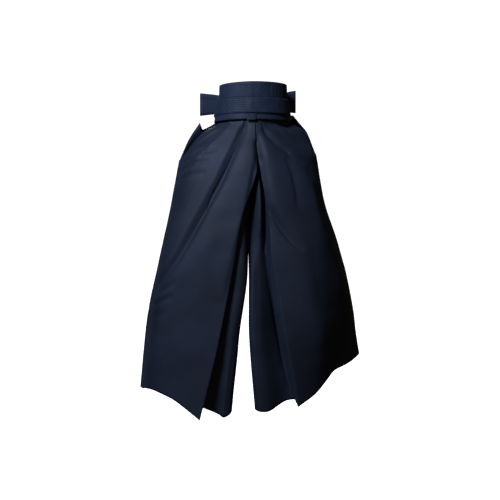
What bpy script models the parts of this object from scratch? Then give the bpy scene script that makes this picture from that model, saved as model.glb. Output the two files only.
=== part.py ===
"""Divided hakama trousers in worn form: pleated fronts and backs, gussets, back board, wound straps and bow.

Metres, +Z up. The origin is the middle of the waist hollow, at the height of the tied straps. The front faces
-Y and +X is towards the wearer's left. Tables are in millimetres, one row for each named line down the cloth
and one column for each height, and every piece is worked out from them.
"""

import math

import bmesh
import bpy
from mathutils import Vector

# ---------------------------------------------------------------- driving sizes
MM = 0.001
CLOTH = 1.5 * MM  # wall of one layer of the leg cloth
STRAP = 1.8 * MM  # wall of a strap, which is folded cloth
BOARD = 4.0 * MM  # the back board under its cloth
SEAM = 0.5 * MM  # how far each of two pieces stays back from their seam
PLY = 3.0 * MM  # from one layer of a pressed pleat to the next

WAIST_TOP = 79 * MM  # height of the upper edge of the front waistband
WAIST_SLOPE = 0.135  # how fast the waist widens downwards
WAIST_HALF = 95.6 * MM  # half width of the waist hollow at WAIST_TOP
WAIST_FLATNESS = 0.8  # depth of the waist for its width
PANEL_DEPTH = 6.8 * MM  # room that the pleated cloth takes under the straps

# Heights down a leg, as a share of the way from the waist to the hem: top, waist, shoulder, hip, thigh, crotch,
# knee and hem. Then the rows of cloth from each to the next.
LEVELS = (-0.04, 0.0, 0.04, 0.14, 0.33, 0.52, 0.76, 1.0)
ROWS_BETWEEN = (1, 2, 2, 3, 2, 3, 3)
VENT_END = 0.14  # the side vent closes at the hip
FORK = 0.425  # the legs part here, half way from thigh to crotch

# ---------------------------------------------------------------- the lines down the cloth, in millimetres
# Each row: waist height, hem height, then (x, y) at each of LEVELS.
RIGHT_FRONT = {
    "side": (-44, -900, (-109, -15), (-114, -16), (-163, -22), (-238, 8), (-268, 15), (-305, 15), (-341, 15), (-365, 15)),
    "hip": (-46, -903, (-98, -42), (-102, -44), (-140, -58), (-222, -48), (-260, -58), (-298, -66), (-331, -78), (-352, -88)),
    "pleat3": (-46, -908, (-70, -71), (-73, -74), (-95, -84), (-180, -92), (-232, -105), (-280, -118), (-312, -136), (-331, -152)),
    "pleat2": (-48, -912, (-31, -87), (-32, -91), (-41, -102), (-79, -128), (-165, -142), (-240, -150), (-281, -166), (-300, -182)),
    "breast": (-49, -930, (-18, -89), (-19, -93), (-19, -104), (-30, -134), (-100, -158), (-152, -176), (-196, -192), (-238, -208)),
    "flap": (-49, -976, (4, -91), (5, -95), (6, -106), (13, -137), (-34, -166), (-67, -189), (-110, -212), (-165, -235)),
    "kick": (-49, -962, (-9, -85), (-9, -88), (-8, -98), (-10, -118), (-45, -122), (-64, -118), (-88, -120), (-114, -126)),
    "roll": (-49, -977, (-5, -85), (-5, -88), (-3, -98), (0, -117), (-26, -120), (-36, -114), (-70, -128), (-93, -150)),
}
LEFT_FRONT = {
    "side": (-39, -795, (107, -15), (111, -15), (164, -8), (205, 4), (229, 8), (276, 14), (321, 20), (348, 25)),
    "hip": (-54, -812, (97, -42), (101, -44), (132, -51), (193, -48), (224, -54), (270, -52), (309, -45), (322, -35)),
    "pleat3": (-56, -826, (70, -71), (73, -74), (103, -82), (172, -82), (210, -96), (252, -100), (284, -92), (291, -76)),
    "pleat2": (-56, -840, (31, -87), (32, -91), (46, -102), (122, -116), (188, -128), (222, -138), (247, -134), (256, -112)),
    "breast": (-52, -890, (25, -88), (26, -92), (28, -104), (52, -136), (112, -158), (132, -174), (166, -184), (205, -168)),
    "flap": (-49, -938, (9, -90), (9, -94), (10, -105), (19, -134), (56, -160), (66, -182), (99, -200), (138, -215)),
    "kick": (-49, -926, (15, -84), (15, -87), (15, -98), (26, -118), (47, -124), (52, -118), (73, -124), (90, -128)),
    "roll": (-49, -960, (8, -85), (8, -88), (8, -99), (15, -118), (19, -134), (14, -128), (18, -144), (40, -158)),
}
RIGHT_BACK = {
    "side": (-44, -900, (-108, 80), (-122, 72), (-152, 48), (-238, 8), (-268, 15), (-305, 15), (-341, 15), (-365, 15)),
    "hip": (-39, -902, (-84, 94), (-92, 94), (-112, 94), (-190, 92), (-232, 105), (-268, 112), (-305, 120), (-325, 128)),
    "seat": (-39, -900, (-52, 109), (-56, 111), (-66, 120), (-110, 142), (-150, 160), (-178, 168), (-205, 176), (-225, 184)),
    "pleat": (-39, -905, (-15, 118), (-16, 120), (-18, 130), (-26, 152), (-40, 170), (-60, 178), (-95, 186), (-120, 194)),
    "kick": (-39, -895, (-8, 111), (-8, 113), (-9, 122), (-12, 140), (-30, 142), (-45, 140), (-80, 144), (-95, 148)),
}
LEFT_BACK = {
    "side": (-39, -795, (114, 82), (150, 60), (176, 32), (205, 4), (229, 8), (276, 14), (321, 20), (348, 25)),
    "hip": (-39, -812, (84, 96), (102, 96), (130, 92), (168, 88), (205, 100), (250, 108), (295, 116), (318, 118)),
    "seat": (-39, -835, (52, 109), (56, 111), (64, 120), (98, 140), (140, 158), (178, 168), (215, 178), (240, 184)),
    "pleat": (-39, -860, (15, 118), (16, 120), (18, 130), (26, 152), (44, 170), (62, 180), (95, 190), (128, 198)),
    "kick": (-39, -870, (8, 111), (8, 113), (9, 122), (14, 140), (22, 142), (28, 140), (50, 144), (75, 150)),
}
# How far each pleat laps under itself (less than 0 where it has opened out flat).
LAPS = {
    "right_pleat3": (16, 16, 14, 2, -10, -16, -20, -22),
    "right_pleat2": (20, 20, 19, 14, 5, -8, -18, -24),
    "right_flap": (22, 22, 24, 34, 46, 56, 64, 70),
    "left_pleat3": (16, 16, 14, 4, -8, -14, -18, -20),
    "left_pleat2": (20, 20, 19, 10, -6, -12, -18, -22),
    "left_flap": (9, 9, 13, 28, 40, 50, 56, 60),
    "back_pleat": (22, 24, 26, 32, 44, 56, 66, 74),
}
# How far the hidden end of a pleat sinks in, and how far it rides up.
SINKS = {"flat": (0, 0, 0, 0, 0, 0, 0, 0), "flap": (0, 0, 0, 4, 13, 23, 32, 38), "back": (0, 0, 0, 4, 12, 20, 28, 34)}
LIFTS = {"flat": (0, 0, 0, 0, 0, 0, 0, 0), "flap": (0, 0, 0, 0, 0, 6, 16, 32), "back": (0, 0, 0, 0, 0, 2, 5, 10)}
# Where the two legs' cloth meets or parts: middle across, gap between them, front depth and back depth.
MIDDLE = (0, 0, 2.5, 6, -12, -13.7, -30, -27)
PARTING = (3, 3, 3, 3, 3, 4, 43, 69)
INNER_FRONT = (-85, -88, -98, -116, -106, -100, -104, -108)
INNER_BACK = (111, 113, 122, 140, 135, 128, 126, 126)
INNER_HEMS = {"right": (-957, -890), "left": (-951, -885)}  # at the front and at the back
GUSSET_LEVELS = (FORK, 0.52, 0.76, 1.0)
GUSSET_SWELL = {"right": (-3, -4, -7, -11), "left": (3, 4, 7, 11)}
GHOST = 0.35  # how much the neighbour's cloth steers a gusset at its seams

EAR_RISE = 30 * MM  # the corner of the right back that stands up at the vent
EAR_REACH = 18 * MM
EAR_AT = 0.042
EAR_SPREAD = 0.014

# The bow at the back: plan of one loop, then the middle height and the width of the strap along it.
LOOP_PLAN = {
    "right": ((-17, 98), (-46, 92), (-75, 78), (-98, 68), (-118, 74), (-172, 68)),
    "left": ((17, 98), (46, 92), (75, 78), (96, 68), (115, 75), (138, 77)),
}
LOOP_MIDDLE = {"right": (52, 52, 50, 46, 30, 27), "left": (52, 52, 50, 46, 33, 36)}
LOOP_WIDTH = {"right": (28, 30, 28, 28, 46, 69), "left": (28, 30, 28, 28, 54, 76)}
LOOP_OPEN = (5, 6, 6, 7, 9, 9)  # between the two layers of a loop

NAVY = (0.012, 0.018, 0.040, 1.0)


# ---------------------------------------------------------------- curves
def slopes(at, values):
    """Slopes that never overshoot, one for each value."""
    steps = [(b - a) / (t - s) for a, b, s, t in zip(values, values[1:], at, at[1:])]
    inner = [0.0 if p * q <= 0 else 2 * p * q / (p + q) for p, q in zip(steps, steps[1:])]
    return [steps[0], *inner, steps[-1]]


def smooth(at, values, where):
    """The value at one place on the smooth curve through values."""
    where = min(max(where, at[0]), at[-1])
    k = next(i for i in range(1, len(at)) if where <= at[i])
    m = slopes(at, values)
    h = at[k] - at[k - 1]
    t = (where - at[k - 1]) / h
    rise = values[k] - values[k - 1]
    bend = m[k - 1] * h * t * (1 - t) ** 2 - m[k] * h * t * t * (1 - t)
    return values[k - 1] + rise * t * t * (3 - 2 * t) + bend


def spline(points, pieces):
    """Points along a Catmull-Rom curve through points, whose first and last only steer it."""
    made = []
    for i in range(1, len(points) - 2):
        p, q, r, s = points[i - 1 : i + 3]
        for n in range(pieces[i - 1]):
            t = n / pieces[i - 1]
            lead, trail = (r - p) / 2, (s - q) / 2
            made.append(
                q + lead * t + (3 * (r - q) - 2 * lead - trail) * t * t + (2 * (q - r) + lead + trail) * t**3
            )
    return made + [points[-2]]


def run(keys, pieces, before=None, after=None):
    """A stretch of section between two creases. It runs straight on past an end with no neighbour given."""
    first = before if before is not None else keys[0] * 2 - keys[1]
    last = after if after is not None else keys[-1] * 2 - keys[-2]
    return spline([first, *keys, last], pieces)


# ---------------------------------------------------------------- the waist
def waist(angle, height, off):
    """A point round the waist: angle from the middle front, towards the wearer's left, in degrees."""
    half = WAIST_HALF + WAIST_SLOPE * (WAIST_TOP - height)
    turn = math.radians(angle)
    across = (half + off) * math.sin(turn)
    deep = -(half * WAIST_FLATNESS + off) * math.cos(turn)
    return Vector((across, deep, height))


# ---------------------------------------------------------------- lines and pleats of one panel
def line_at(row, share):
    """The point of one line down the cloth. The side line has a corner at the end of its vent."""
    top, hem, *plan = row
    x = [p[0] for p in plan]
    y = [p[1] for p in plan]
    return Vector((smooth(LEVELS, x, share), smooth(LEVELS, y, share), top + (hem - top) * share)) * MM


def side_at(row, share):
    """The side line: one curve down to the end of the vent, and one on to the hem."""
    cut = LEVELS.index(VENT_END)
    rows = slice(0, cut + 1) if share <= VENT_END else slice(cut, None)
    top, hem, *plan = row
    x = [p[0] for p in plan][rows]
    y = [p[1] for p in plan][rows]
    at = LEVELS[rows]
    return Vector((smooth(at, x, share), smooth(at, y, share), top + (hem - top) * share)) * MM


def inner_at(leg, share, back):
    """The line where a leg's front or back meets the other leg or its own gusset."""
    side = -1 if leg == "right" else 1
    hem = INNER_HEMS[leg][1 if back else 0]
    top = RIGHT_BACK["kick"][0] if back else RIGHT_FRONT["kick"][0]
    x = smooth(LEVELS, MIDDLE, share) + side * smooth(LEVELS, PARTING, share) / 2
    y = smooth(LEVELS, INNER_BACK if back else INNER_FRONT, share)
    return Vector((x, y, top + (hem - top) * share)) * MM


def gusset_middle(leg, share):
    """The middle line of a gusset. Above the fork there is none."""
    if share < FORK:
        return None
    swell = smooth(GUSSET_LEVELS, GUSSET_SWELL[leg], share) * MM
    return (inner_at(leg, share, False) + inner_at(leg, share, True)) / 2 + Vector((swell, 0, 0))


def pleat(edge, forward, outward, share, name, beyond=None, kind="flat"):
    """A knife pleat: its turn, the end of its return, and the start and run of the next layer.

    Once the lap has opened out, those points lie along the way from the edge to beyond.
    """
    lap = smooth(LEVELS, LAPS[name], share) * MM
    sink = smooth(LEVELS, SINKS[kind], share) * MM
    lift = smooth(LEVELS, LIFTS[kind], share) * MM
    ply = PLY * min(max((lap / MM + 10) / 16, 0.1), 1.0)
    turned = edge - outward * ply
    if lap < 0:
        way = (beyond - turned).normalized()
        hidden = turned + way * -lap - outward * (1.5 * MM * max(0.0, 1 + lap / (6 * MM)))
        start = hidden + way * (1 * MM - lap * 0.3) - outward * ply
        return turned, hidden, start, start + way * 3 * MM
    slack = 1.5 * MM * max(0.0, 1 - lap / (6 * MM))
    hidden = turned - forward * lap - outward * (sink + slack) + Vector((0, 0, lift))
    start = hidden - outward * ply
    return turned, hidden, start, start + forward * max(lap, 3 * MM)


def plan_direction(a, b):
    """The level direction from a to b."""
    return Vector((b.x - a.x, b.y - a.y, 0)).normalized()


def outward_of(ahead, leg, back):
    """The outward direction beside a level direction that runs from the side to the middle."""
    sign = 1 if (leg == "right") != back else -1
    return Vector((ahead.y * sign, -ahead.x * sign, 0))


def nudge(points):
    """Draws both ends of a section back from their seams."""
    first = (points[1] - points[0]).normalized() * SEAM
    last = (points[-2] - points[-1]).normalized() * SEAM
    return [points[0] + first, *points[1:-1], points[-1] + last]


def front_section(table, leg, share, neighbour):
    """One level of a front: side, two pleats, the flap over the middle, and the strip behind it."""
    at = {name: line_at(row, share) for name, row in table.items()}
    at["side"] = side_at(table["side"], share)
    inner = inner_at(leg, share, back=False)
    folded = {}
    before = at["hip"]
    for name, beyond in (("pleat3", at["pleat2"]), ("pleat2", at["breast"]), ("flap", None)):
        ahead = plan_direction(before if name != "flap" else at["breast"], at[name])
        kind = "flap" if name == "flap" else "flat"
        folded[name] = pleat(at[name], ahead, outward_of(ahead, leg, False), share, f"{leg}_{name}", beyond, kind)
        before = folded[name][3]
    turned3, hidden3, start3, on3 = folded["pleat3"]
    turned2, hidden2, start2, on2 = folded["pleat2"]
    turned1, hidden1, start1, _ = folded["flap"]
    return nudge(
        run([at["side"], at["hip"], at["pleat3"]], (3, 3), before=neighbour)
        + [turned3, hidden3, start3]
        + run([on3, at["pleat2"]], (4,))
        + [turned2, hidden2, start2]
        + run([on2, at["breast"], at["flap"]], (3, 3))
        + [turned1, hidden1]
        + run([start1, at["kick"], at["roll"], inner], (2, 2, 2), after=gusset_middle(leg, share))
    )


def back_section(table, leg, share, neighbour):
    """One level of a back: side, seat, one deep pleat and the strip under it to the middle."""
    at = {name: line_at(row, share) for name, row in table.items()}
    at["side"] = side_at(table["side"], share)
    inner = inner_at(leg, share, back=True)
    ahead = plan_direction(at["seat"], at["pleat"])
    turned, hidden, start, _ = pleat(at["pleat"], ahead, outward_of(ahead, leg, True), share, "back_pleat", kind="back")
    return nudge(
        run([at["side"], at["hip"], at["seat"], at["pleat"]], (3, 3, 3), before=neighbour)
        + [turned, hidden]
        + run([start, at["kick"], inner], (2, 2), after=gusset_middle(leg, share))
    )


def shares(first=LEVELS[0]):
    """The rows of cloth from the top, or from first, to the hem."""
    made = []
    for a, b, n in zip(LEVELS, LEVELS[1:], ROWS_BETWEEN):
        made += [a + (b - a) * i / n for i in range(n)]
    return [first] + [s for s in made if s > first + 0.01] + [1.0]


# ---------------------------------------------------------------- making objects
def material(name, roughness):
    made = bpy.data.materials.new(name)
    made.use_nodes = True
    shader = made.node_tree.nodes["Principled BSDF"]
    shader.inputs["Base Color"].default_value = NAVY
    shader.inputs["Roughness"].default_value = roughness
    return made


def sheet(name, rows, wall, finish, ring=False):
    """A wall of cloth on a grid of points: rows from top to hem, or closed on itself round a ring."""
    bm = bmesh.new()
    bmesh.ops.create_grid(bm, x_segments=len(rows[0]) - 1, y_segments=len(rows) - 1, size=1)
    for vertex, point in zip(bm.verts, [p for row in rows for p in row]):
        vertex.co = point
    if ring:
        bmesh.ops.remove_doubles(bm, verts=bm.verts, dist=0.01 * MM)
    mesh = bpy.data.meshes.new(name)
    bm.to_mesh(mesh)
    bm.free()
    made = bpy.data.objects.new(name, mesh)
    bpy.context.scene.collection.objects.link(made)
    made.data.materials.append(finish)
    made.data.shade_smooth()
    solid = made.modifiers.new("wall", "SOLIDIFY")
    solid.thickness = wall
    solid.offset = 0
    solid.use_rim = True
    return made


def fronts(finish):
    for leg, table, other in (("right", RIGHT_FRONT, RIGHT_BACK), ("left", LEFT_FRONT, LEFT_BACK)):
        rows = [front_section(table, leg, s, line_at(other["hip"], s) if s >= VENT_END else None) for s in shares()]
        sheet(f"front_{leg}", rows, CLOTH, finish)


def backs(finish):
    for leg, table, other in (("right", RIGHT_BACK, RIGHT_FRONT), ("left", LEFT_BACK, LEFT_FRONT)):
        rows = []
        for s in shares():
            section = back_section(table, leg, s, line_at(other["hip"], s) if s >= VENT_END else None)
            if leg == "right":
                stand = math.exp(-(((s - EAR_AT) / EAR_SPREAD) ** 2))
                for n, part in ((0, 1.0), (1, 0.35)):
                    section[n] = section[n] + Vector((-EAR_REACH, -10 * MM, EAR_RISE)) * stand * part
            rows.append(section)
        sheet(f"back_{leg}", rows, CLOTH, finish)


def gussets(finish):
    """The inner wall of each leg, from the fork to the hem."""
    for leg in ("right", "left"):
        roll = (RIGHT_FRONT if leg == "right" else LEFT_FRONT)["roll"]
        kick = (RIGHT_BACK if leg == "right" else LEFT_BACK)["kick"]
        rows = []
        for s in shares(FORK):
            front, back = inner_at(leg, s, False), inner_at(leg, s, True)
            before = front.lerp(line_at(roll, s), GHOST)
            after = back.lerp(line_at(kick, s), GHOST)
            rows.append(nudge(run([front, gusset_middle(leg, s), back], (3, 3), before, after)))
        sheet(f"gusset_{leg}", rows, CLOTH, finish)


def strap_row(angles, low, high, off):
    """Two rows of points, the upper and lower edge of a strap round the waist."""
    return [[waist(a, low(a) + (high(a) - low(a)) * e, off) for a in angles] for e in (1.0, 0.5, 0.0)]


def front_straps(finish):
    """The front strap goes round twice: the upper turn holds the front's top edge, the lower turn crosses below."""
    turn = [360 * n / 40 for n in range(41)]
    upper_off = PANEL_DEPTH + STRAP / 2
    sheet("front_strap_upper", strap_row(turn, lambda a: 19 * MM, lambda a: WAIST_TOP, upper_off), STRAP, finish, True)

    lower_off = upper_off + STRAP + 0.4 * MM
    sheet("front_strap_lower", strap_row(turn, lambda a: -43 * MM, lambda a: 4 * MM, lower_off), STRAP, finish, True)


def back_straps(finish):
    """The back strap comes forward from both ends of the board. The right half crosses over the left, as far as
    the left hip."""
    for leg, sign, reach, steps in (("right", -1, 76, 34), ("left", 1, 4, 20)):
        off = PANEL_DEPTH + 2.5 * STRAP + 0.8 * MM
        rows = []
        for edge in (1.0, 0.5, 0.0):
            row = []
            for n in range(steps):
                angle = -reach + (120 + reach) * n / (steps - 1)
                over = 2.3 * MM if leg == "right" and angle < 9 else 0.0
                out = off + over + 8 * MM * max(0.0, (angle - 70) / 50) ** 1.5
                height = -23 * MM + 51 * MM * edge
                row.append(waist(sign * angle, height, out))
            rows.append(row)
        sheet(f"back_strap_{leg}", rows, STRAP, finish)


def board(finish):
    """The stiff board at the back of the waist, narrower at its top."""
    plan = {
        0.0: ((-103, 74), (-84, 94), (-52, 109), (0, 118), (52, 109), (84, 94), (103, 74)),
        1.0: ((-78, 89), (-62, 99), (-36, 107), (0, 112), (36, 107), (62, 99), (78, 89)),
    }
    rows = []
    for share in (1.0, 0.93, 0.5, 0.0):
        keys = [Vector(a).lerp(Vector(b), share) for a, b in zip(plan[0.0], plan[1.0])]
        corner = 5 if share == 1.0 else 0
        row = run([Vector((k.x, k.y, 0)) * MM for k in keys], (2,) * 6)
        row = [Vector((p.x * (1 - corner / 78), p.y, (-2 + 102 * share) * MM)) for p in row]
        rows.append(row)
    sheet("board", rows, BOARD, finish)


def bow(finish):
    """The front strap's bow: a knot behind the waist and a flattened loop out past each side."""
    places = tuple(range(6))
    for leg, sign in (("right", -1), ("left", 1)):
        out, home = [], []
        for n in range(11):
            t = n / 2
            x = smooth(places, [p[0] for p in LOOP_PLAN[leg]], t)
            y = smooth(places, [p[1] for p in LOOP_PLAN[leg]], t)
            middle = smooth(places, LOOP_MIDDLE[leg], t)
            half = smooth(places, LOOP_WIDTH[leg], t) / 2
            gap = smooth(places, LOOP_OPEN, t) / 2
            out.append((x, y - gap, middle, half))
            home.append((x, y + gap, middle, half))
        x, y, middle, half = out[-1]
        tip = (x + sign * 3, y + LOOP_OPEN[-1] / 2, middle, half)
        path = out + [tip] + home[::-1]
        rows = [[Vector((x, y, middle + half * edge)) * MM for x, y, middle, half in path] for edge in (1, 0, -1)]
        sheet(f"bow_loop_{leg}", rows, STRAP, finish)
    knot = bpy.data.meshes.new("bow_knot")
    bm = bmesh.new()
    bmesh.ops.create_cube(bm, size=1)
    bmesh.ops.scale(bm, vec=Vector((26, 11, 34)) * MM, verts=bm.verts)
    bmesh.ops.bevel(bm, geom=bm.edges, offset=3.5 * MM, segments=2, profile=0.5, affect="EDGES")
    bmesh.ops.translate(bm, vec=Vector((0, 99, 52)) * MM, verts=bm.verts)
    bm.to_mesh(knot)
    bm.free()
    made = bpy.data.objects.new("bow_knot", knot)
    bpy.context.scene.collection.objects.link(made)
    made.data.materials.append(finish)


def front_tie(finish):
    """The short upright turn of strap that binds the wraps at the middle front."""
    off = PANEL_DEPTH + 3.5 * STRAP + 1.2 * MM
    rows = []
    for height in (-25, -33, -41, -46):
        rows.append([waist(a, height * MM, off) for a in (-6.5, -2.2, 2.2, 6.5)])
    sheet("front_tie", rows, STRAP, finish)


def main():
    for old in list(bpy.data.objects):
        bpy.data.objects.remove(old)
    cloth = material("navy_twill", 0.75)
    strap = material("navy_strap", 0.8)
    fronts(cloth)
    backs(cloth)
    gussets(cloth)
    front_straps(strap)
    back_straps(strap)
    board(cloth)
    bow(strap)
    front_tie(strap)


main()
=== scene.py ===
import math

import bmesh
import bpy
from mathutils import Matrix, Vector, noise


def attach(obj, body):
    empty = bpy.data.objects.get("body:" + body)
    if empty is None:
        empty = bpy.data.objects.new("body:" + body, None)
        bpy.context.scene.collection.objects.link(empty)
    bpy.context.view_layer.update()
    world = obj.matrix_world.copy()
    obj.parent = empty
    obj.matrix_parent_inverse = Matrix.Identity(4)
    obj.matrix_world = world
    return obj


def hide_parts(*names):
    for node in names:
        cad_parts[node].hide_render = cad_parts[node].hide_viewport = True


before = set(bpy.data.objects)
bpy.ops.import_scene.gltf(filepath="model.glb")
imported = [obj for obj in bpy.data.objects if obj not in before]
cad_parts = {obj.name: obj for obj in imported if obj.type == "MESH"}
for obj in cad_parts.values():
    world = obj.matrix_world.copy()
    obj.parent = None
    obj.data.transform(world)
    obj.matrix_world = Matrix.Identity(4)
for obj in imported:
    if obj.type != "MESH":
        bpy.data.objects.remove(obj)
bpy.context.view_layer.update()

# ---------------------------------------------------------------- the two fronts
# Each leg's front is widths of smooth navy cloth, knife-pleated into the waist. The pleats face the
# middle, and the last one on each side laps over a strip that runs back to the inner leg. They are
# pressed sharp at the top and open out over the hips, and the cloth has the soft pulls and hollows of
# being worn.
MM = 0.001
# Levels down a leg, as shares of the way from the waist to the hem: top, waist, shoulder, hip, thigh, crotch,
# knee and hem. Then the rows of cloth from each to the next.
levels = (-0.04, 0.0, 0.04, 0.14, 0.33, 0.52, 0.76, 1.0)
rows_between = (4, 6, 12, 26, 22, 28, 30)
hip = 3  # the hip's place among the levels
fork = 0.425  # where the two legs part
cloth_wall = 1.1 * MM
ply = 2.6 * MM  # from one layer of a soft pleat to the next

# One line down the cloth each, in millimetres: waist height, hem height, x at every level and y at every
# level.
right_front_lines = {
    "side": (-44, -900, (-109, -114, -163, -240, -269, -305, -347, -365),
                        (-15, -16, -22, 8, 15, 15, 15, 15)),
    "hip": (-46, -897, (-98, -102, -140, -222, -260, -298, -331, -352),
                       (-42, -44, -58, -48, -58, -66, -78, -88)),
    "pleat3": (-46, -890, (-70, -73, -95, -180, -232, -280, -312, -331),
                          (-71, -74, -84, -92, -105, -118, -136, -152)),
    "pleat2": (-48, -895, (-31, -32, -41, -79, -165, -240, -281, -300),
                          (-87, -91, -102, -128, -142, -150, -166, -182)),
    "breast": (-49, -922, (-18, -19, -19, -30, -100, -152, -196, -238),
                          (-89, -93, -104, -134, -158, -176, -192, -208)),
    "flap": (-49, -976, (4, 5, 6, 13, -34, -67, -110, -165),
                        (-91, -95, -106, -137, -166, -189, -212, -235)),
    "kick": (-49, -962, (-9, -9, -8, -10, -45, -64, -88, -114),
                        (-85, -88, -98, -118, -144, -168, -182, -186)),
    "roll": (-49, -974, (-5, -5, -3, 0, -24, -30, -62, -90),
                        (-85, -88, -98, -117, -146, -168, -184, -194)),
}
left_front_lines = {
    "side": (-39, -795, (107, 111, 166, 205, 229, 276, 321, 348),
                        (-15, -15, -7, 4, 8, 14, 20, 25)),
    "hip": (-54, -812, (97, 101, 132, 193, 224, 270, 309, 322),
                       (-42, -44, -51, -48, -54, -52, -45, -35)),
    "pleat3": (-56, -826, (70, 73, 103, 172, 210, 252, 284, 291),
                          (-71, -74, -82, -82, -96, -100, -92, -76)),
    "pleat2": (-56, -840, (31, 32, 44, 138, 194, 224, 247, 256),
                          (-87, -91, -102, -114, -128, -138, -134, -112)),
    "breast": (-52, -872, (25, 26, 28, 60, 118, 188, 210, 224),
                          (-88, -92, -104, -136, -156, -158, -166, -150)),
    "wrap": (-49, -905, (9, 9, 10, 19, 57, 150, 168, 190),
                        (-90, -94, -105, -134, -163, -170, -184, -180)),
    "flap": (-49, -938, (14, 15, 18, 36, 50, 60, 99, 138),
                        (-83, -86, -97, -120, -150, -176, -200, -215)),
    "kick": (-49, -930, (12, 12, 14, 24, 37, 46, 78, 104),
                        (-83, -86, -97, -119, -122, -138, -126, -136)),
    "roll": (-49, -958, (7, 7, 7, 14, 20, 16, 22, 47),
                        (-83, -86, -97, -119, -140, -148, -166, -180)),
}
# How far each pleat laps under itself at every level, less than 0 where it has opened out flat.
front_laps = {
    "right": {
        "pleat3": (16, 16, 14, 2, -10, -16, -20, -22),
        "pleat2": (20, 20, 19, 14, 5, -8, -18, -24),
        "flap": (22, 22, 24, 34, 46, 54, 54, 44),
    },
    "left": {
        "pleat3": (16, 16, 14, 2, -8, -14, -18, -20),
        "pleat2": (20, 20, 16, 2, -8, -12, -18, -22),
        "wrap": (9, 9, 12, 16, 0, -12, -14, -16),
        "flap": (-2, -2, -3, -4, -8, 3, 48, 60),
    },
}
# How far the hidden end of a pleat lies behind its edge, and how far it rides up.
flap_sink = {"right": (0, 0, 0, 4, 11, 18, 24, 28), "left": (0, 0, 0, 0, 0, 4, 32, 36)}
flap_lift = {"right": (0, 0, 0, 0, 0, 4, 18, 46), "left": (0, 0, 0, 0, 0, 2, 6, 12)}
wrap_sink = (0, 0, 0, 2, 4, 0, 0, 0)
# The line midway between the legs, the gap between them, and the depths and heights of their inner seams.
middle_line = (0, 0, 2.5, 6, -12, -13.7, -28.5, -30.5)
parting = (3, 3, 3, 3, 3, 7, 32, 71)
inner_depths = {
    "front": (-85, -88, -98, -116, -118, -136, -152, -164),
    "back": (111, 113, 122, 140, 135, 128, 126, 126),
}
inner_tops = {"front": -49, "back": -39}
inner_hems = {"right": {"front": -957, "back": -890}, "left": {"front": -951, "back": -885}}
gusset_swells = {"right": (-4, -5, -7, -11), "left": (-4, -4, 7, 11)}
# Just behind each side seam, from the hip down, so that the front runs smoothly on into the back.
side_beyond = {
    "right": ((-190, -232, -268, -305, -325), (92, 105, 112, 120, 128)),
    "left": ((168, 205, 250, 295, 318), (88, 100, 108, 116, 118)),
}


def smooth(at, values, where):
    """The value at one place on the curve through values, which never overshoots them."""
    where = min(max(where, at[0]), at[-1])
    steps = [(b - a) / (t - s) for a, b, s, t in zip(values, values[1:], at, at[1:])]
    bends = [0.0 if p * q <= 0 else 2 * p * q / (p + q) for p, q in zip(steps, steps[1:])]
    bends = [steps[0], *bends, steps[-1]]
    k = next(i for i in range(1, len(at)) if where <= at[i])
    h = at[k] - at[k - 1]
    t = (where - at[k - 1]) / h
    rise = values[k] - values[k - 1]
    bend = bends[k - 1] * h * t * (1 - t) ** 2 - bends[k] * h * t * t * (1 - t)
    return values[k - 1] + rise * t * t * (3 - 2 * t) + bend


def on_line(line, share, part=slice(None)):
    """The point of a line down the cloth, on the curve through its levels or a part of them."""
    top, hem, x, y = line
    across = smooth(levels[part], x[part], share)
    depth = smooth(levels[part], y[part], share)
    return Vector((across, depth, top + (hem - top) * share)) * MM


def on_side(line, share):
    """The point of a side line, which has a corner where its vent ends, at the hip."""
    return on_line(line, share, slice(0, hip + 1) if share <= levels[hip] else slice(hip, None))


def on_inner(leg, share, face):
    """Where a front or a back meets the other leg or, below the fork, its own gusset. The seam lies 8 mm
    further right behind than in front, so that no light comes between the legs above the fork."""
    side = -1 if leg == "right" else 1
    x = smooth(levels, middle_line, share) + side * smooth(levels, parting, share) / 2
    if face == "back":
        x -= smooth((-0.04, 0.0, 0.06, 0.43, 0.49, 1.0), (0, 0, 8, 8, 0, 0), share)
    top, hem = inner_tops[face], inner_hems[leg][face]
    return Vector((x, smooth(levels, inner_depths[face], share), top + (hem - top) * share)) * MM


def on_gusset(leg, share):
    """The middle line of a gusset, from the fork down."""
    swell = smooth((fork, 0.5, 0.76, 1.0), gusset_swells[leg], share)
    return (on_inner(leg, share, "front") + on_inner(leg, share, "back")) / 2 + Vector((swell, 0, 0)) * MM


def past_inner(inner, before, leg, share):
    """Where a front or a back heads at its inner seam: straight on, or below the fork into the gusset."""
    straight = inner * 2 - before
    if share < fork:
        return straight
    return straight.lerp(on_gusset(leg, share), min(1.0, (share - fork) / 0.12))


def run(keys, counts, before=None, after=None):
    """Points along a soft stretch of cloth through keys, steered by its neighbours before and after."""
    points = [before or keys[0] * 2 - keys[1], *keys, after or keys[-1] * 2 - keys[-2]]
    made = []
    for i, count in enumerate(counts):
        p, q, r, s = points[i : i + 4]
        for n in range(count):
            t = n / count
            lead, trail = (r - p) / 2, (s - q) / 2
            square = (3 * (r - q) - 2 * lead - trail) * t * t
            cube = (2 * (q - r) + lead + trail) * t**3
            made.append(q + lead * t + square + cube)
    return [*made, keys[-1]]


def bend(a, b, way, count=3):
    """Points round a pressed crease from a to b, which bulges the given way."""
    centre = (a + b) / 2
    out = (a - b) / 2
    turns = [math.pi * (n + 1) / (count + 1) for n in range(count)]
    return [centre + out * math.cos(t) + way * (out.length * 0.8 * math.sin(t)) for t in turns]


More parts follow.
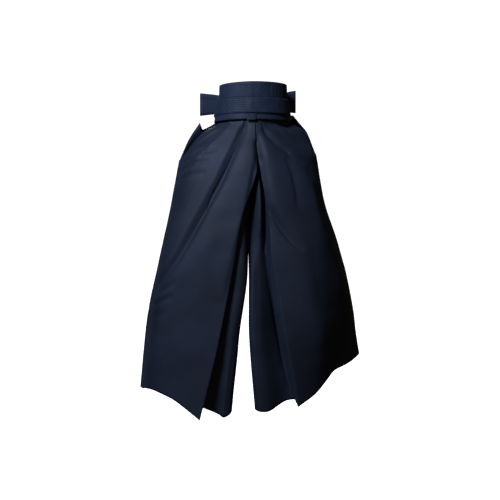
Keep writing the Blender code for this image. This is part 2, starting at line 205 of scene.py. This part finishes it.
def knife_pleat(edge, before, leg, face, laps, share, sink=None, lift=None, step=1.0):
    """A knife pleat from its edge to the next layer, where that layer starts, and one more point on it."""
    ahead = Vector((edge.x - before.x, edge.y - before.y, 0)).normalized()
    sign = 1 if (leg == "right") == (face == "front") else -1
    out = Vector((ahead.y, -ahead.x, 0)) * sign
    lap = smooth(levels, laps, share)
    gap = ply * step * min(max((lap + 8) / 14, 0.06), 1.0)
    lap = max(lap, 0.0) * MM
    back = (smooth(levels, sink, share) if sink else 0) * MM
    up = (smooth(levels, lift, share) if lift else 0) * MM
    bulk = 0.8 * MM * max(0.0, 1 - lap / (6 * MM))
    turned = edge - out * gap
    hidden = turned - ahead * lap - out * (back + bulk) + Vector((0, 0, up))
    start = hidden - out * gap
    folded = [
        *bend(edge, turned, ahead),
        *[turned.lerp(hidden, n / 4) for n in range(5)],
        *bend(hidden, start, -ahead),
    ]
    return folded, start, start + ahead * max(lap, 3 * MM)


def opened(laps, share):
    """From 0 where a pleat is folded to 1 where it has opened out flat."""
    t = min(1.0, max(0.0, (12 - smooth(levels, laps, share)) / 18))
    return t * t * (3 - 2 * t)


def pressed_out(folded, flat, knots):
    """Mixes the folded points with the flat ones. The knots give the share of flat at some of the points,
    which changes evenly from each to the next."""
    made = []
    for n, (a, b) in enumerate(zip(folded, flat)):
        (start, low), (end, high) = next(pair for pair in zip(knots, knots[1:]) if n <= pair[1][0])
        made.append(a.lerp(b, low + (high - low) * (n - start) / (end - start)))
    return made


# Soft folds of wear on the fronts: a line seen from the front in millimetres (x, z), how far it stands
# out or, less than 0, sinks in, and how wide it is on each side of the line.
worn_folds = (
    (((-36, -70), (-79, -167), (-112, -240), (-160, -327), (-206, -414), (-247, -485), (-297, -556),
      (-335, -610)), -17, 7, 18),
    (((-92, -396), (-160, -462), (-250, -572), (-322, -650)), 3, 30, 26),
    (((10, -120), (20, -200), (32, -270), (46, -320), (66, -356), (84, -382), (104, -410), (128, -438),
      (160, -462)), -15, 8, 16),
    (((20, -190), (20, -300), (20, -420)), 9, 10, 9),
    (((2, -150), (-30, -330), (-72, -500), (-100, -620)), 7, 45, 8),
    (((34, -290), (40, -350), (43, -420), (38, -480)), -12, 8, 7),
    (((34, -76), (46, -96), (78, -128), (134, -164), (170, -184)), -9, 7, 12),
    (((108, -176), (128, -226), (138, -290), (140, -330)), -5, 7, 14),
    (((30, -56), (62, -72), (84, -68)), -4, 6, 8),
    (((66, -50), (96, -60), (120, -58)), -3, 5, 6),
    (((110, -62), (134, -78), (152, -86)), -4, 6, 7),
    (((150, -150), (176, -190), (188, -240)), -3, 10, 12),
    (((-238, -168), (-186, -128), (-116, -98)), -8, 5, 9),
    (((-240, -184), (-184, -152), (-112, -140)), -8, 5, 9),
    (((-216, -142), (-160, -104), (-88, -66)), -6, 5, 8),
    (((-244, -214), (-200, -186), (-140, -176)), -7, 6, 10),
    (((-244, -236), (-206, -222), (-150, -214)), -5, 6, 10),
    (((-334, -618), (-290, -588), (-236, -560)), -6, 7, 11),
    (((-338, -654), (-296, -622), (-246, -600)), -6, 7, 10),
    (((-342, -694), (-310, -668), (-270, -652)), -2, 7, 9),
    (((240, -400), (285, -470), (300, -560)), -4, 16, 18),
    (((232, -420), (270, -520), (278, -600)), 3, 14, 16),
    (((150, -560), (190, -660), (230, -760)), 4, 30, 34),
    (((55, -490), (75, -600), (92, -700), (108, -790), (122, -860), (135, -930)), -22, 17, 3),
    (((-120, -330), (-150, -460), (-185, -640), (-205, -820)), 3, 34, 36),
)


def worn(point):
    """Where wear moves a point of the leg cloth: out or in at the folds, and a little everywhere else."""
    x, z = point.x / MM, point.z / MM
    away = Vector((point.x * 1.6, point.y, 0)).normalized()
    push = noise.noise(point * 9) * 2.2 + noise.noise(point * 21 + Vector((3, 0, 0))) * 0.8
    push *= min(1.0, max(0.0, (-z - 45) / 60))
    if point.y < 0:
        for line, depth, first_width, second_width in worn_folds:
            nearest, reach = None, 0.0
            for n, (a, b) in enumerate(zip(line, line[1:])):
                along, across = b[0] - a[0], b[1] - a[1]
                t = ((x - a[0]) * along + (z - a[1]) * across) / (along * along + across * across)
                t = min(1.0, max(0.0, t))
                dx, dz = x - a[0] - t * along, z - a[1] - t * across
                distance = math.hypot(dx, dz)
                if nearest is None or distance < abs(nearest):
                    nearest = distance if dx * across - dz * along < 0 else -distance
                    reach = (n + t) / (len(line) - 1)
            width = first_width if nearest < 0 else second_width
            ends = math.sin(math.pi * min(1.0, 0.12 + 0.88 * reach)) ** 0.6 if reach < 1 else 0.0
            push += depth * ends * math.exp(-((nearest / width) ** 2))
        push *= 1 if point.y < -20 * MM else -point.y / (20 * MM)
    return point + away * push * MM


def colour(code):
    """A colour from its sRGB hex code, turned to linear."""
    values = [int(code[i : i + 2], 16) / 255 for i in (1, 3, 5)]
    return (*[v / 12.92 if v <= 0.04045 else ((v + 0.055) / 1.055) ** 2.4 for v in values], 1.0)


def add(material, kind, settings=None, links=None, **options):
    """Adds one node with its options, its input settings, and links into it from other nodes' outputs."""
    made = material.node_tree.nodes.new(kind)
    for name, value in options.items():
        setattr(made, name, value)
    for name, value in (settings or {}).items():
        made.inputs[name].default_value = value
    for name, output in (links or {}).items():
        material.node_tree.links.new(output, made.inputs[name])
    return made


# Polyester and wool cloth, piece-dyed navy and woven in a fine twill: it reads smooth and nearly matt,
# with a soft low sheen, a little bluer and paler in patches where it has worn. The twill is drawn coarser
# than it is, at 1.4 mm, so that it shows.
twill_scale = 1 / (1.4 * MM) / 20  # a wave texture has 20 bands to each unit of its scale
sheen = "#8fa3c4"
navy_twill = bpy.data.materials.new("navy_twill")
navy_twill.use_nodes = True
shader = navy_twill.node_tree.nodes["Principled BSDF"]
shader.inputs["Roughness"].default_value = 0.6
shader.inputs["Specular IOR Level"].default_value = 0.12
shader.inputs["Sheen Weight"].default_value = 0.06
shader.inputs["Sheen Roughness"].default_value = 0.4
shader.inputs["Sheen Tint"].default_value = colour(sheen)
place = add(navy_twill, "ShaderNodeTexCoord")
weft = add(navy_twill, "ShaderNodeUVMap", uv_map="weave")
cloudy = add(
    navy_twill,
    "ShaderNodeTexNoise",
    {"Scale": 7.0, "Detail": 4.0, "Roughness": 0.6},
    {"Vector": place.outputs["Object"]},
)
tint = add(navy_twill, "ShaderNodeValToRGB", links={"Fac": cloudy.outputs["Fac"]})
tint.color_ramp.elements[0].position = 0.3
tint.color_ramp.elements[0].color = colour("#11161d")
tint.color_ramp.elements[1].position = 0.75
tint.color_ramp.elements[1].color = colour("#181e29")
twill = add(
    navy_twill,
    "ShaderNodeTexWave",
    {"Scale": twill_scale, "Distortion": 0.6, "Detail": 1.0, "Detail Scale": 4.0},
    {"Vector": weft.outputs["UV"]},
    wave_type="BANDS",
    bands_direction="DIAGONAL",
)
slub = add(navy_twill, "ShaderNodeTexNoise", {"Scale": 900.0, "Detail": 2.0}, {"Vector": weft.outputs["UV"]})
threads = add(
    navy_twill, "ShaderNodeMath", links={0: twill.outputs["Fac"], 1: slub.outputs["Fac"]}, operation="ADD"
)
relief = add(
    navy_twill, "ShaderNodeBump", {"Strength": 0.15, "Distance": 0.3 * MM}, {"Height": threads.outputs[0]}
)
navy_twill.node_tree.links.new(tint.outputs["Color"], shader.inputs["Base Color"])
navy_twill.node_tree.links.new(relief.outputs["Normal"], shader.inputs["Normal"])


def cloth_piece(name, rows, wall, finish, closed=False):
    """A wall of cloth on a grid from the rows of its points, with the weave's own map laid along it in
    metres. A closed piece has its two ends welded."""
    bm = bmesh.new()
    bmesh.ops.create_grid(bm, x_segments=len(rows[0]) - 1, y_segments=len(rows) - 1, size=1)
    bm.verts.ensure_lookup_table()
    wide = len(rows[0])
    for vertex, point in zip(bm.verts, [p for row in rows for p in row]):
        vertex.co = point
    across = [0.0]
    widest = rows[len(rows) // 2]
    for a, b in zip(widest, widest[1:]):
        across.append(across[-1] + (b - a).length)
    down = [0.0]
    for above, below in zip(rows, rows[1:]):
        down.append(down[-1] + (below[wide // 3] - above[wide // 3]).length)
    weave = bm.loops.layers.uv.new("weave")
    for face in bm.faces:
        for loop in face.loops:
            row, column = divmod(loop.vert.index, wide)
            loop[weave].uv = (across[column], down[row])
    if closed:
        bmesh.ops.remove_doubles(bm, verts=bm.verts, dist=0.01 * MM)
    mesh = bpy.data.meshes.new(name)
    bm.to_mesh(mesh)
    bm.free()
    piece = bpy.data.objects.new(name, mesh)
    bpy.context.scene.collection.objects.link(piece)
    mesh.materials.append(finish)
    mesh.shade_smooth()
    solid = piece.modifiers.new("wall", "SOLIDIFY")
    solid.thickness = wall
    solid.offset = 0
    return piece


def all_shares(first=levels[0]):
    """The level of every row of cloth from the first one down."""
    made = []
    for a, b, count in zip(levels, levels[1:], rows_between):
        made += [a + (b - a) * n / count for n in range(count)]
    return [first, *[s for s in made if s > first + 0.004], 1.0]


def drawn_back(points, gap=0.15 * MM):
    """Holds both ends of a section back from their seams."""
    first = (points[1] - points[0]).normalized() * gap
    last = (points[-2] - points[-1]).normalized() * gap
    return [points[0] + first, *points[1:-1], points[-1] + last]


def front_section(lines, leg, share, neighbour):
    """The points of a front at one level, from the side to the inner seam. Where a pleat opens out, they are
    mixed with as many points on the flat cloth, and the knots count those points."""
    at = {name: on_line(line, share) for name, line in lines.items()}
    at["side"] = on_side(lines["side"], share)
    laps = front_laps[leg]
    fine = 0.3 if leg == "right" else 0.15
    made = run([at["side"], at["hip"], at["pleat3"]], (14, 16), before=neighbour)
    folded, _, on = knife_pleat(at["pleat3"], at["hip"], leg, "front", laps["pleat3"], share, step=fine)
    made += folded + run([on, at["pleat2"]], (20,))
    folded, _, on = knife_pleat(at["pleat2"], on, leg, "front", laps["pleat2"], share, step=1.5 * fine)
    last = "wrap" if leg == "left" else "flap"
    made += folded + run([on, at["breast"], at[last]], (12, 20))
    flat_keys = ["side", "hip", "pleat3", "pleat2", "breast", last]
    counts, before = [14, 16, 32, 24, 20], at["breast"]
    open3, open2 = opened(laps["pleat3"], share), opened(laps["pleat2"], share)
    knots = [(0, open3), (41, open3), (62, open2), (106, open2)]
    if leg == "left":
        folded, before, _ = knife_pleat(
            at["wrap"], before, leg, "front", laps["wrap"], share, wrap_sink, step=0.5
        )
        made += folded + run([before, at["flap"]], (14,))
        flat_keys.append("flap")
        counts.append(26)
        open1 = opened(laps["wrap"], share)
        knots = [*knots[:-1], (73, open2), (106, open1), (132, open1)]
    made = pressed_out(made, run([at[key] for key in flat_keys], counts, before=neighbour), knots)
    sink, lift = flap_sink[leg], flap_lift[leg]
    folded, start, _ = knife_pleat(at["flap"], before, leg, "front", laps["flap"], share, sink, lift)
    inner = on_inner(leg, share, "front")
    after = past_inner(inner, at["roll"], leg, share)
    made += folded + run([start, at["kick"], at["roll"], inner], (9, 7, 7), after=after)
    return drawn_back([worn(p) for p in made])


for leg, lines, area in (("right", right_front_lines, 0.55), ("left", left_front_lines, 0.5)):
    rows = []
    for share in all_shares():
        beyond = None
        if share >= levels[hip]:
            x, y = [smooth(levels[hip:], values, share) for values in side_beyond[leg]]
            hem = lines["side"][1]
            beyond = Vector((x, y, hem * share)) * MM
        rows.append(front_section(lines, leg, share, beyond))
    front = cloth_piece(f"{leg}_front_cloth", rows, cloth_wall, navy_twill)
    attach(front, "root")
    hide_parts(f"front_{leg}")

# ---------------------------------------------------------------- the two backs
# Each leg's back hangs from the back board in one deep pleat beside the middle, with flat cloth out to
# the side. The open vent runs down the side from the board to the hip, and from there the back is sewn to
# the front.
right_back_lines = {
    "side": (-44, -900, (-108, -122, -152, -240, -269, -305, -347, -365),
                        (80, 72, 48, 8, 15, 15, 15, 15)),
    "hip": (-39, -902, (-84, -92, -112, -190, -232, -268, -305, -325),
                       (94, 94, 94, 92, 105, 112, 120, 128)),
    "seat": (-39, -900, (-52, -56, -66, -110, -150, -178, -205, -225),
                        (109, 111, 120, 142, 160, 168, 176, 184)),
    "pleat": (-39, -905, (-15, -16, -18, -26, -40, -60, -95, -120),
                         (118, 120, 130, 152, 170, 178, 186, 194)),
    "kick": (-39, -895, (-8, -8, -9, -12, -30, -45, -80, -95),
                        (111, 113, 122, 140, 142, 140, 144, 148)),
}
left_back_lines = {
    "side": (-39, -795, (134, 156, 177, 205, 229, 276, 321, 348),
                        (76, 60, 32, 4, 8, 14, 20, 25)),
    "hip": (-39, -812, (84, 102, 130, 168, 205, 250, 295, 318),
                       (96, 96, 92, 88, 100, 108, 116, 118)),
    "seat": (-39, -835, (52, 56, 64, 98, 140, 178, 215, 240),
                        (109, 111, 120, 140, 158, 168, 178, 184)),
    "pleat": (-39, -860, (15, 16, 18, 26, 44, 62, 95, 128),
                         (118, 120, 130, 152, 170, 180, 190, 198)),
    "kick": (-39, -870, (8, 8, 9, 14, 22, 28, 50, 75),
                        (111, 113, 122, 140, 142, 140, 144, 150)),
}
right_vent_top, right_vent_foot = Vector((-176, 44, -37)) * MM, Vector((-240, 8, -164)) * MM
back_lap = (22, 24, 26, 32, 44, 56, 66, 74)
back_sink = (0, 0, 0, 4, 12, 20, 28, 34)
back_lift = (0, 0, 0, 0, 0, 2, 5, 10)

for leg, lines, area in (("right", right_back_lines, 0.4), ("left", left_back_lines, 0.38)):
    front_hip = (right_front_lines if leg == "right" else left_front_lines)["hip"]
    rows = []
    for share in all_shares():
        at = {name: on_line(line, share) for name, line in lines.items()}
        at["side"] = on_side(lines["side"], share)
        swag = 0.0
        if leg == "right" and share < levels[hip]:
            # The edge of this vent hangs free, straight up to a pointed corner, and the top sags beside it.
            reach = (share - levels[0]) / (levels[hip] - levels[0])
            at["side"] = right_vent_top.lerp(right_vent_foot, reach)
            at["side"].x -= 6 * MM * math.sin(math.pi * reach)
            swag = 34 * MM * max(0.0, 1 - reach * 2.5) ** 2
        beyond = on_line(front_hip, share) if share >= levels[hip] else None
        made = run([at["side"], at["hip"], at["seat"], at["pleat"]], (9, 9, 9), before=beyond)
        for n in range(1, 9):
            made[n] = made[n] - Vector((0, 0, swag * (1 - n / 9)))
        pleat, seat = at["pleat"], at["seat"]
        folded, start, _ = knife_pleat(pleat, seat, leg, "back", back_lap, share, back_sink, back_lift)
        inner = on_inner(leg, share, "back")
        after = past_inner(inner, at["kick"], leg, share)
        made += folded + run([start, at["kick"], inner], (9, 7), after=after)
        rows.append(drawn_back([worn(p) for p in made]))
    back = cloth_piece(f"{leg}_back_cloth", rows, cloth_wall, navy_twill)
    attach(back, "root")
    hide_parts(f"back_{leg}")

# ---------------------------------------------------------------- the gussets
# A narrow inner wall of the same cloth in each leg joins its front to its back, from the fork down to the
# hem.
gusset_neighbours = {
    "right": (right_front_lines["roll"], right_back_lines["kick"]),
    "left": (left_front_lines["roll"], left_back_lines["kick"]),
}
for leg, (front_roll, back_kick) in gusset_neighbours.items():
    rows = []
    for share in all_shares(fork):
        front_seam, back_seam = on_inner(leg, share, "front"), on_inner(leg, share, "back")
        before = front_seam.lerp(on_line(front_roll, share), 0.35)
        after = back_seam.lerp(on_line(back_kick, share), 0.35)
        made = run([front_seam, on_gusset(leg, share), back_seam], (14, 14), before, after)
        rows.append(drawn_back([worn(p) for p in made]))
    gusset = cloth_piece(f"{leg}_gusset_cloth", rows, cloth_wall, navy_twill)
    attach(gusset, "root")
    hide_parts(f"gusset_{leg}")

# ---------------------------------------------------------------- the front strap
# One long strap of the same cloth, folded to 6 cm and stitched. Its first turn shows above, and its
# second turn lies lower, over the top of the pleats. The back strap covers the gap between them.
strap_wall = 1.6 * MM
first_turn_foot, first_turn_top = 19 * MM, 79 * MM
second_turn_foot, second_turn_top = -43 * MM, 4 * MM
waist_half = 95.6 * MM  # half the width of the waist at the top of the straps
waist_slope = 0.135  # how much wider each half is, for each unit further down
waist_depth = 0.8  # the waist's depth from front to back, as a share of its width


def strap_finish(name, first, spacing):
    """The same navy cloth, folded and sewn flat with rows of small stitches that pull it into shallow
    grooves: it reads a little bluer than the legs, crossed by fine darker lines of painted shade laid in
    along the grooves. The rows lie a spacing apart, and first is how far one of them lies from the edge."""
    made = bpy.data.materials.new(name)
    made.use_nodes = True
    shader = made.node_tree.nodes["Principled BSDF"]
    shader.inputs["Roughness"].default_value = 0.62
    shader.inputs["Specular IOR Level"].default_value = 0.12
    shader.inputs["Sheen Weight"].default_value = 0.06
    shader.inputs["Sheen Roughness"].default_value = 0.45
    shader.inputs["Sheen Tint"].default_value = colour(sheen)
    place = add(made, "ShaderNodeTexCoord")
    weft = add(made, "ShaderNodeUVMap", uv_map="weave")
    cloudy = add(
        made,
        "ShaderNodeTexNoise",
        {"Scale": 22.0, "Detail": 4.0, "Roughness": 0.6},
        {"Vector": place.outputs["Object"]},
    )
    tint = add(made, "ShaderNodeValToRGB", links={"Fac": cloudy.outputs["Fac"]})
    tint.color_ramp.elements[0].position = 0.3
    tint.color_ramp.elements[0].color = colour("#131a25")
    tint.color_ramp.elements[1].position = 0.75
    tint.color_ramp.elements[1].color = colour("#1a2330")
    split = add(made, "ShaderNodeSeparateXYZ", links={"Vector": weft.outputs["UV"]})
    across = add(made, "ShaderNodeMath", {1: first}, {0: split.outputs["Y"]}, operation="SUBTRACT")
    nearest = add(made, "ShaderNodeMath", {1: spacing / 2}, {0: across.outputs[0]}, operation="PINGPONG")
    # This mask both sinks the stitched grooves in the bump and places the painted shade in them.
    groove_and_painted_shade = add(
        made,
        "ShaderNodeMapRange",
        {"From Min": 0.0, "From Max": 1.2 * MM, "To Min": 0.0, "To Max": 1.0},
        {"Value": nearest.outputs[0]},
        interpolation_type="SMOOTHSTEP",
    )
    twill = add(
        made,
        "ShaderNodeTexWave",
        {"Scale": twill_scale, "Distortion": 0.6, "Detail": 1.0, "Detail Scale": 4.0},
        {"Vector": weft.outputs["UV"]},
        bands_direction="DIAGONAL",
    )
    height = add(
        made,
        "ShaderNodeMath",
        {1: 0.3},
        {0: twill.outputs["Fac"], 2: groove_and_painted_shade.outputs[0]},
        operation="MULTIPLY_ADD",
    )
    relief = add(
        made, "ShaderNodeBump", {"Strength": 0.6, "Distance": 0.8 * MM}, {"Height": height.outputs[0]}
    )
    # Painted shade: the base colour darkens to #0a101c along each stitched groove.
    shade = add(
        made,
        "ShaderNodeMix",
        {"A": colour("#0a101c")},
        {"Factor": groove_and_painted_shade.outputs[0], "B": tint.outputs["Color"]},
        data_type="RGBA",
    )
    made.node_tree.links.new(shade.outputs["Result"], shader.inputs["Base Color"])
    made.node_tree.links.new(relief.outputs["Normal"], shader.inputs["Normal"])
    return made


front_strap_cloth = strap_finish("front_strap_cloth", 11 * MM, 38 * MM)
back_strap_cloth = strap_finish("back_strap_cloth", 4 * MM, 7 * MM)


def round_waist(angle, height, off):
    """A point round the waist: degrees from the middle front towards the left, height, and how far out."""
    half = waist_half + waist_slope * (first_turn_top - height)
    turn = math.radians(angle)
    return Vector(((half + off) * math.sin(turn), -(half * waist_depth + off) * math.cos(turn), height))


def hip_ease(angle):
    """How much further out the lower turns lie on the right hip."""
    return 4.5 * MM * max(0.0, -math.sin(math.radians(angle))) ** 2


def wound_strap(name, low, high, off, node, flare=0.0, dip=0.0, pulls=(), eased=False):
    """A strap once round the waist between its lower and upper edges, with the small puckers of being drawn
    tight and one sharper pull at each (angle, height, half width, half height). Its top leans out by the
    flare and dips over the right hip, and an eased strap lies further out there."""
    rows = []
    across, around = 16, 240
    for n in range(across + 1):
        row = []
        for step in range(around + 1):
            angle, edge = step * 1.5, n / across
            top = high - dip * max(0.0, math.sin(math.radians(-angle)))
            height = top + (low - top) * edge
            turn = math.radians(angle)
            aside, ahead = math.sin(turn), math.cos(turn)
            pucker = noise.noise(Vector((aside * 9, ahead * 9, height * 12 + off * 90))) * 0.55
            pucker += noise.noise(Vector((aside * 26, ahead * 26, height * 14))) * 0.3
            for at, level, wide, tall in pulls:
                gone = (angle - at + 180) % 360 - 180
                pucker += 0.9 * math.exp(-((gone / wide) ** 2) - ((height / MM - level) / tall) ** 2)
            lean = flare * max(0.0, height - first_turn_foot) + (hip_ease(angle) if eased else 0.0)
            swell = max(-0.6, min(1.3, pucker)) - 0.6 * (2 * edge - 1) ** 6
            row.append(round_waist(angle, height, off + lean + swell * MM))
        rows.append(row)
    strap = cloth_piece(name, rows, strap_wall, front_strap_cloth, closed=True)
    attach(strap, "root")
    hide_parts(node)


wound_strap(
    "front_strap_first_turn",
    low=first_turn_foot,
    high=first_turn_top,
    off=7.7 * MM,
    node="front_strap_upper",
    flare=0.11,
    dip=2.5 * MM,
    pulls=((-27, 45, 2.0, 26), (33, 52, 1.4, 18), (41, 55, 1.2, 22)),
)
wound_strap(
    "front_strap_second_turn",
    low=second_turn_foot,
    high=second_turn_top,
    off=9.9 * MM,
    node="front_strap_lower",
    eased=True,
)

# ---------------------------------------------------------------- the back strap
# The board's two straps come forward round the hips. The right one crosses outside the left, to the left
# hip, and the slack where they cross stands up in three short slanting tucks.
back_strap_top, back_strap_width = 28 * MM, 51 * MM
board_corner = 120  # degrees round the waist from the middle front
for leg, sign, reach, length in (("right", -1, 76, 0.41), ("left", 1, 4, 0.27)):
    angles = [-reach + (board_corner + reach) * n / 160 for n in range(161)]
    rows = []
    for n in range(13):
        row = []
        for angle in angles:
            over = 2.1 * MM * min(1.0, max(0.0, (12 - angle) / 8)) if leg == "right" else 0.0
            out = 11.6 * MM + over + 8 * MM * max(0.0, (angle - 70) / 50) ** 1.5 + hip_ease(sign * angle)
            turn = math.radians(sign * angle)
            height = back_strap_top - back_strap_width * n / 12
            pucker = noise.noise(Vector((math.sin(turn) * 8, math.cos(turn) * 8, height * 30))) * 0.6
            for at, level, wide in ((-2, 11, 8), (-5, 2, 7), (-6, -8, 8)):
                near = (sign * angle - at) / wide
                pucker += 1.3 * math.exp(-(near**2) - ((height / MM - level - 2 * near) / 2.2) ** 2)
            row.append(round_waist(sign * angle, height, out + max(-0.5, pucker) * MM))
        rows.append(row)
    strap = cloth_piece(f"{leg}_back_strap", rows, strap_wall, back_strap_cloth)
    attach(strap, "root")
    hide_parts(f"back_strap_{leg}")

# ---------------------------------------------------------------- the tie at the middle front
# A short upright turn of strap binds the wraps together just below the crossing, so its stitches run up
# and down. It stands out furthest along its middle and is drawn in at its two sides.
rows = []
for k in range(25):
    out = (14.3 - 0.8 * ((k - 12) / 12) ** 4) * MM
    rows.append([round_waist(-9 + 13 * k / 24, (-25 - 21 * n / 10) * MM, out) for n in range(11)])
tie = cloth_piece("front_tie_wrap", rows, strap_wall, strap_finish("tie_cloth", 5 * MM, 5 * MM))
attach(tie, "root")
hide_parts("front_tie")

# ---------------------------------------------------------------- the back board
# A stiff board under cloth, wide at its foot and narrower at its top, stands at the small of the back.
# The back cloth is sewn to its foot, and the back straps spring from its lower corners.
board_low, board_tall = -7, 107
board_foot = ((-103, 74), (-84, 94), (-52, 109), (0, 118), (52, 109), (84, 94), (103, 74))
board_head = ((-78, 89), (-62, 99), (-36, 107), (0, 112), (36, 107), (62, 99), (78, 89))
rows = []
for n in range(25):
    share = 1 - n / 24
    keys = [Vector((*a, 0)).lerp(Vector((*b, 0)), share) * MM for a, b in zip(board_foot, board_head)]
    pulled = 1 - 0.06 * max(0.0, (share - 0.9) / 0.1) ** 2
    height = (board_low + board_tall * share) * MM
    rows.append([Vector((p.x * pulled, p.y, height)) for p in run(keys, (8,) * 6)])
board = cloth_piece("back_board", rows, 4.0 * MM, navy_twill)
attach(board, "root")
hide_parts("board")

# ---------------------------------------------------------------- the bow
# The front strap is tied in a bow behind the waist, under the board. Its two loops lie flat and show past
# the sides of the waist, and its knot is a short wrapped turn. Each loop's (x, y), middle height, width
# and gap between its two layers are given at six places from the knot out.
loop_plans = {
    "right": ((-17, 98), (-46, 92), (-75, 78), (-98, 68), (-118, 74), (-172, 68)),
    "left": ((17, 98), (46, 92), (75, 78), (96, 68), (115, 75), (138, 77)),
}
loop_middles = {"right": (52, 52, 50, 46, 28, 26), "left": (52, 52, 50, 46, 35, 36)}
loop_widths = {"right": (28, 30, 28, 28, 60, 74), "left": (28, 30, 28, 28, 66, 74)}
loop_gaps = (5, 6, 6, 7, 9, 9)
for leg, sign, length in (("right", -1, 0.33), ("left", 1, 0.26)):
    near, far = [], []
    places = range(6)
    for n in range(41):
        t = n / 8
        x = smooth(places, [p[0] for p in loop_plans[leg]], t)
        y = smooth(places, [p[1] for p in loop_plans[leg]], t)
        shape = (smooth(places, loop_middles[leg], t), smooth(places, loop_widths[leg], t) / 2)
        gap = smooth(places, loop_gaps, t) / 2
        near.append((x, y - gap, *shape))
        far.append((x, y + gap, *shape))
    x, y, *shape = near[-1]
    turned = []
    for n in range(1, 6):
        turn = math.pi * n / 6
        turned.append((x + sign * 4 * math.sin(turn), y + 4.5 * (1 - math.cos(turn)), *shape))
    path = near + turned + far[::-1]
    rows = []
    for k in range(9):
        edge = 1 - k / 4
        rows.append([Vector((x, y, middle + half * edge)) * MM for x, y, middle, half in path])
    loop = cloth_piece(f"{leg}_bow_loop", rows, strap_wall, front_strap_cloth)
    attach(loop, "root")
    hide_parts(f"bow_loop_{leg}")

knot = bpy.data.meshes.new("bow_knot_wrap")
bm = bmesh.new()
bmesh.ops.create_cube(bm, size=1)
bmesh.ops.scale(bm, vec=Vector((26, 11, 34)) * MM, verts=bm.verts)
bmesh.ops.bevel(bm, geom=bm.edges, offset=3.5 * MM, segments=4, profile=0.5, material=-1, affect="EDGES")
bmesh.ops.subdivide_edges(bm, edges=bm.edges, cuts=2, use_grid_fill=True)
for vertex in bm.verts:
    vertex.co.x += 0.6 * MM * math.sin(vertex.co.z * 500)
bmesh.ops.translate(bm, vec=Vector((0, 99, 52)) * MM, verts=bm.verts)
weave = bm.loops.layers.uv.new("weave")
for face in bm.faces:
    for loop in face.loops:
        loop[weave].uv = (loop.vert.co.z, loop.vert.co.x)
bm.to_mesh(knot)
bm.free()
knot.materials.append(front_strap_cloth)
knot.shade_smooth()
knot = bpy.data.objects.new("bow_knot_wrap", knot)
bpy.context.scene.collection.objects.link(knot)
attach(knot, "root")
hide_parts("bow_knot")

# ---------------------------------------------------------------- floor, light and camera
# A white sweep of paper lies under and behind. The key light is high on the left, a weak warm fill comes
# from low in front on the right, and a third light stands behind, for the back.
bm = bmesh.new()
bmesh.ops.create_grid(bm, x_segments=1, y_segments=40, size=1)
floor, half_wide = -1.35, 2.6
for vertex in bm.verts:
    t = (vertex.co.y + 1) / 2
    if t < 0.5:
        vertex.co = Vector((vertex.co.x * half_wide, 6 * t - 0.6, floor))
    else:
        turn = (t - 0.5) * math.pi
        rise = 4.5 * (1 - math.cos(turn))
        vertex.co = Vector((vertex.co.x * half_wide, 2.4 + 2.5 * math.sin(turn), floor + rise))
sweep_mesh = bpy.data.meshes.new("paper_sweep")
bm.to_mesh(sweep_mesh)
bm.free()
sweep_mesh.shade_smooth()
# Matt white backdrop paper, lit so fully that it reads pure white, without a shadow.
paper = bpy.data.materials.new("white_paper")
paper.use_nodes = True
shader = paper.node_tree.nodes["Principled BSDF"]
shader.inputs["Base Color"].default_value = colour("#f4f4f4")
shader.inputs["Roughness"].default_value = 0.9
shader.inputs["Emission Color"].default_value = colour("#ffffff")
shader.inputs["Emission Strength"].default_value = 1.0
sweep_mesh.materials.append(paper)
sweep = bpy.data.objects.new("paper_sweep", sweep_mesh)
bpy.context.scene.collection.objects.link(sweep)
sweep.visible_diffuse = False  # the paper shows white but throws no light back on the dark cloth
sweep.visible_glossy = False


def area_light(name, where, aim, width, power, warmth="#ffffff"):
    lamp = bpy.data.lights.new(name, "AREA")
    lamp.shape = "DISK"
    lamp.size = width
    lamp.energy = power
    lamp.color = colour(warmth)[:3]
    held = bpy.data.objects.new(name, lamp)
    held.location = where
    held.visible_camera = False
    held.rotation_euler = (Vector(aim) - Vector(where)).to_track_quat("-Z", "Y").to_euler()
    bpy.context.scene.collection.objects.link(held)


area_light("key", (-1.0, -1.45, 1.15), (-0.1, 0, -0.3), 0.6, 104, "#d0e0ff")
area_light("fill", (0.9, -3.2, -0.9), (0, 0, -0.6), 2.0, 9, "#ffdcc0")
area_light("behind", (0, 3.2, 1.0), (0, 0, -0.4), 1.2, 60)
world = bpy.data.worlds.new("studio")
world.use_nodes = True
background = world.node_tree.nodes["Background"]
background.inputs["Color"].default_value = colour("#fff0e0")
background.inputs["Strength"].default_value = 0.04
bpy.context.scene.world = world
bpy.context.scene.view_settings.view_transform = "Standard"

lens = bpy.data.cameras.new("camera")
lens.lens = 75
lens.sensor_width = 36
camera = bpy.data.objects.new("camera", lens)
camera.location = (-0.010, -3.4, -0.458)
camera.rotation_euler = (math.pi / 2, 0, 0)
bpy.context.scene.collection.objects.link(camera)
bpy.context.scene.camera = camera
